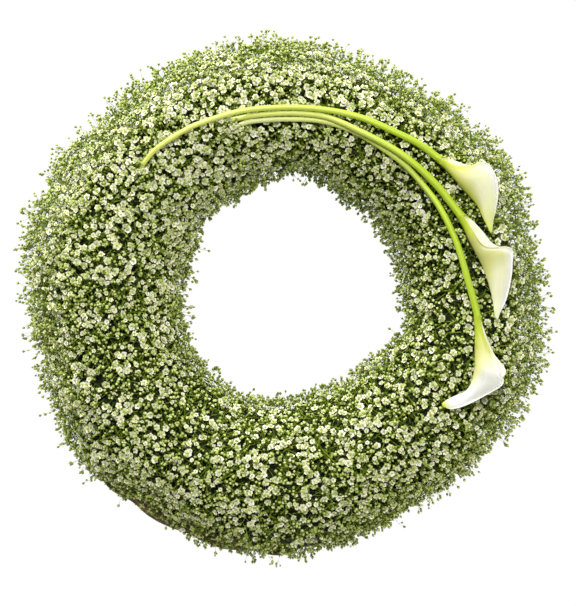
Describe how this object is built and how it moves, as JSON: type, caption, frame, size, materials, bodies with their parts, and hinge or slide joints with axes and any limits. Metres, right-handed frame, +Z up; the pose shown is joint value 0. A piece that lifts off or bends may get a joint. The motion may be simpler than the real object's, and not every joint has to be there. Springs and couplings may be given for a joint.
{
  "type": "baby's breath wreath",
  "caption": "Round wreath of baby's breath sprays on a ring of twisted vines, with calla lilies laid along its crown, made to lie flat or to hang.",
  "frame": {"origin": "on the ground under the middle of the wreath, which lies on its back", "axes": "+Z up through the hole, out of the wreath's face; +Y towards the callas' cut stems' side, the picture's top; +X to the picture's right, towards the calla blooms"},
  "size_m": [0.5492, 0.5503, 0.1321],
  "materials": {
    "vine_bark": "matte",
    "babys_breath": "matte",
    "calla_stem": "satin",
    "calla_spathe": "satin",
    "calla_spadix": "matte"
  },
  "bodies": {
    "root": {"vine_1": "vine_bark", "vine_2": "vine_bark", "vine_3": "vine_bark", "vine_4": "vine_bark", "vine_5": "vine_bark", "spray_inner_01": "babys_breath", "spray_inner_02": "babys_breath", "spray_inner_03": "babys_breath", "spray_inner_04": "babys_breath", "spray_inner_05": "babys_breath", "spray_inner_06": "babys_breath", "spray_inner_07": "babys_breath", "spray_inner_08": "babys_breath", "spray_inner_09": "babys_breath", "spray_inner_10": "babys_breath", "spray_inner_11": "babys_breath", "spray_inner_12": "babys_breath", "spray_crown_01": "babys_breath", "spray_crown_02": "babys_breath", "spray_crown_03": "babys_breath", "spray_crown_04": "babys_breath", "spray_crown_05": "babys_breath", "spray_crown_06": "babys_breath", "spray_crown_07": "babys_breath", "spray_crown_08": "babys_breath", "spray_crown_09": "babys_breath", "spray_crown_10": "babys_breath", "spray_crown_11": "babys_breath", "spray_crown_12": "babys_breath", "spray_outer_01": "babys_breath", "spray_outer_02": "babys_breath", "spray_outer_03": "babys_breath", "spray_outer_04": "babys_breath", "spray_outer_05": "babys_breath", "spray_outer_06": "babys_breath", "spray_outer_07": "babys_breath", "spray_outer_08": "babys_breath", "spray_outer_09": "babys_breath", "spray_outer_10": "babys_breath", "spray_outer_11": "babys_breath", "spray_outer_12": "babys_breath", "calla_a_stem": "calla_stem", "calla_a_spathe": "calla_spathe", "calla_a_spadix": "calla_spadix", "calla_b_stem": "calla_stem", "calla_b_spathe": "calla_spathe", "calla_b_spadix": "calla_spadix", "calla_c_stem": "calla_stem", "calla_c_spathe": "calla_spathe", "calla_c_spadix": "calla_spadix"}
  },
  "joints": []
}
